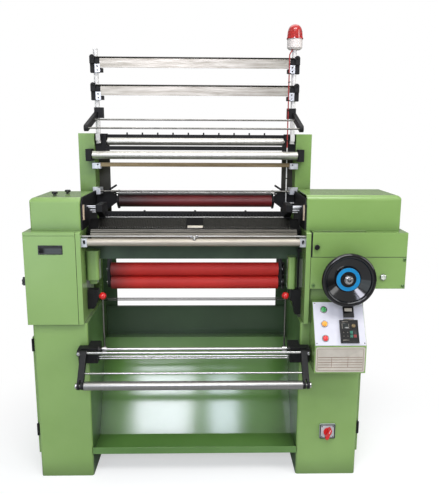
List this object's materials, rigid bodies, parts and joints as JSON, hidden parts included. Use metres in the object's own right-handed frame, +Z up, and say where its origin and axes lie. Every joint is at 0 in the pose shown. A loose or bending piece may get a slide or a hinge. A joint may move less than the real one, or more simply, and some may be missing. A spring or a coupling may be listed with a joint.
{
  "type": "crochet knitting machine",
  "caption": "Narrow-fabric crochet knitting machine on two columns, with needle bed, guide bars, yarn creel, rubber take-down rollers, handwheel drive, control box and warning lamp.",
  "frame": {"origin": "middle of the base on the floor, under the middle of the overall width and depth", "axes": "+Z up, +X to the operator's right, +Y from the operator's side to the back"},
  "size_m": [1.769, 0.6899, 2.1965],
  "materials": {
    "green_paint": "glossy green enamel",
    "black_casting": "black enamelled casting",
    "black_plastic": "glossy black",
    "chrome": "polished",
    "alloy": "drawn satin",
    "white_metal": "white enamel and zinc",
    "red_rubber": "smooth red rubber",
    "dark_red_rubber": "smooth dark red rubber",
    "red_plastic": "glossy red",
    "blue_paint": "blue enamel",
    "green_plastic": "glossy green",
    "amber_plastic": "glossy amber",
    "grey_plastic": "matte grey",
    "cable_jacket": "red jacket",
    "motor_paint": "grey enamel",
    "belt_rubber": "black rubber"
  },
  "bodies": {
    "frame": {"left_column": "green_paint", "right_column": "green_paint", "side_frames": "green_paint", "chute": "green_paint", "rear_panel": "green_paint", "main_beam": "green_paint", "rear_posts": "green_paint", "left_front_cover": "green_paint", "left_hood": "green_paint", "right_hood": "green_paint", "right_drive_cover": "green_paint", "right_gear_case": "green_paint", "control_box": "green_paint", "drive_boxes": "green_paint", "takedown_brackets": "black_casting", "ratchet_blocks": "black_casting", "takeup_brackets": "black_casting", "top_roller_frame": "black_casting", "creel_clamps": "black_casting", "feed_brackets": "black_casting", "side_plates": "black_casting", "needle_bed": "black_casting", "cover_knobs": "black_plastic", "panel_instruments": "black_plastic", "cross_rods": "chrome", "creel_bars": "alloy", "front_bar": "alloy", "creel_uprights": "white_metal", "bar_brackets": "white_metal", "control_panel": "white_metal", "lamp_dome": "red_plastic", "switch_plate": "grey_plastic", "lamp_base": "grey_plastic", "lamp_cable": "cable_jacket", "motor": "motor_paint", "drive_belt": "belt_rubber"},
    "left_door": {"left_door": "green_paint"},
    "right_door": {"right_door": "green_paint"},
    "drive": {"handwheel": "black_plastic", "handwheel_ring": "blue_paint", "main_shaft": "chrome"},
    "motor_rotor": {"motor_pulley": "motor_paint"},
    "green_button": {"button_green": "green_plastic"},
    "amber_button": {"button_amber": "amber_plastic"},
    "red_button": {"button_red": "red_plastic"},
    "main_switch": {"switch_knob": "red_plastic"},
    "upper_takedown": {"takedown_roller_upper": "red_rubber"},
    "lower_takedown": {"takedown_roller_lower": "red_rubber"},
    "feed": {"feed_roller": "dark_red_rubber"},
    "press_lever": {"press_levers": "black_casting"},
    "press": {"press_roller": "chrome"},
    "release": {"release_levers": "chrome", "lever_knobs": "red_plastic"},
    "winder_arms": {"takeup_arms": "black_casting"},
    "winder": {"takeup_roller": "chrome"},
    "front_tube": {"top_front_roller": "chrome"},
    "rear_tube": {"top_rear_roller": "chrome"},
    "needle_rail": {"needle_bar": "alloy"},
    "guides": {"guide_bars": "black_casting"},
    "takedown_rod": {"drive_rod": "black_casting"}
  },
  "joints": [
    {"name": "left_door_hinge", "type": "hinge", "parent": "frame", "child": "left_door", "pos_m": [-0.8555, -0.163, 0.415], "axis": [0, 0, 1], "range_deg": [0, 100]},
    {"name": "right_door_hinge", "type": "hinge", "parent": "frame", "child": "right_door", "pos_m": [0.7105, -0.163, 0.415], "axis": [0, 0, -1], "range_deg": [0, 100]},
    {"name": "drive_turn", "type": "hinge", "parent": "frame", "child": "drive", "pos_m": [0.5965, -0.175, 1.03], "axis": [0, 1, 0], "continuous": true},
    {"name": "motor_turn", "type": "hinge", "parent": "frame", "child": "motor_rotor", "pos_m": [0.5575, -0.175, 0.099], "axis": [0, 1, 0], "continuous": true},
    {"name": "green_press", "type": "slide", "parent": "frame", "child": "green_button", "axis": [0, 0.8575, -0.5145], "range_m": [0, 0.004], "stiffness_N_per_m": 400},
    {"name": "amber_press", "type": "slide", "parent": "frame", "child": "amber_button", "axis": [0, 0.8575, -0.5145], "range_m": [0, 0.004], "stiffness_N_per_m": 400},
    {"name": "red_press", "type": "slide", "parent": "frame", "child": "red_button", "axis": [0, 0.8575, -0.5145], "range_m": [0, 0.004], "stiffness_N_per_m": 400},
    {"name": "switch_turn", "type": "hinge", "parent": "frame", "child": "main_switch", "pos_m": [0.5575, -0.175, 0.234], "axis": [0, 1, 0], "range_deg": [0, 90]},
    {"name": "lower_takedown_turn", "type": "hinge", "parent": "frame", "child": "lower_takedown", "pos_m": [-0.0925, -0.025, 0.9502], "axis": [1, 0, 0], "continuous": true},
    {"name": "upper_takedown_turn", "type": "hinge", "parent": "frame", "child": "upper_takedown", "pos_m": [-0.0925, -0.025, 1.0158], "axis": [1, 0, 0], "continuous": true},
    {"name": "feed_turn", "type": "hinge", "parent": "frame", "child": "feed", "pos_m": [-0.0925, 0.21, 1.321], "axis": [1, 0, 0], "continuous": true},
    {"name": "press_lift", "type": "hinge", "parent": "frame", "child": "press_lever", "pos_m": [-0.0925, 0.25, 1.36323], "axis": [-1, 0, 0], "range_deg": [0, 35]},
    {"name": "press_turn", "type": "hinge", "parent": "press_lever", "child": "press", "pos_m": [-0.0925, 0.2, 1.36323], "axis": [1, 0, 0], "continuous": true},
    {"name": "release_swing", "type": "hinge", "parent": "frame", "child": "release", "pos_m": [-0.0925, -0.135, 0.646], "axis": [1, 0, 0], "range_deg": [0, 40]},
    {"name": "winder_swing", "type": "hinge", "parent": "frame", "child": "winder_arms", "pos_m": [-0.0925, -0.23, 0.665], "axis": [-1, 0, 0], "range_deg": [0, 60]},
    {"name": "winder_turn", "type": "hinge", "parent": "winder_arms", "child": "winder", "pos_m": [-0.0925, -0.325, 0.546], "axis": [1, 0, 0], "continuous": true},
    {"name": "front_tube_turn", "type": "hinge", "parent": "frame", "child": "front_tube", "pos_m": [-0.0925, 0.175, 1.556], "axis": [1, 0, 0], "continuous": true},
    {"name": "rear_tube_turn", "type": "hinge", "parent": "frame", "child": "rear_tube", "pos_m": [-0.0925, 0.28, 1.622], "axis": [1, 0, 0], "continuous": true},
    {"name": "needle_stroke", "type": "slide", "parent": "frame", "child": "needle_rail", "axis": [0, 1, 0], "range_m": [-0.008, 0.008]},
    {"name": "guide_shog", "type": "slide", "parent": "frame", "child": "guides", "axis": [1, 0, 0], "range_m": [-0.012, 0.012]},
    {"name": "takedown_rod_stroke", "type": "slide", "parent": "frame", "child": "takedown_rod", "axis": [0, 0, 1], "range_m": [0, 0.01]}
  ],
  "couplings": [
    {"joint": "motor_turn", "follows": "drive_turn", "ratio": 2},
    {"joint": "upper_takedown_turn", "follows": "lower_takedown_turn", "ratio": -1}
  ]
}
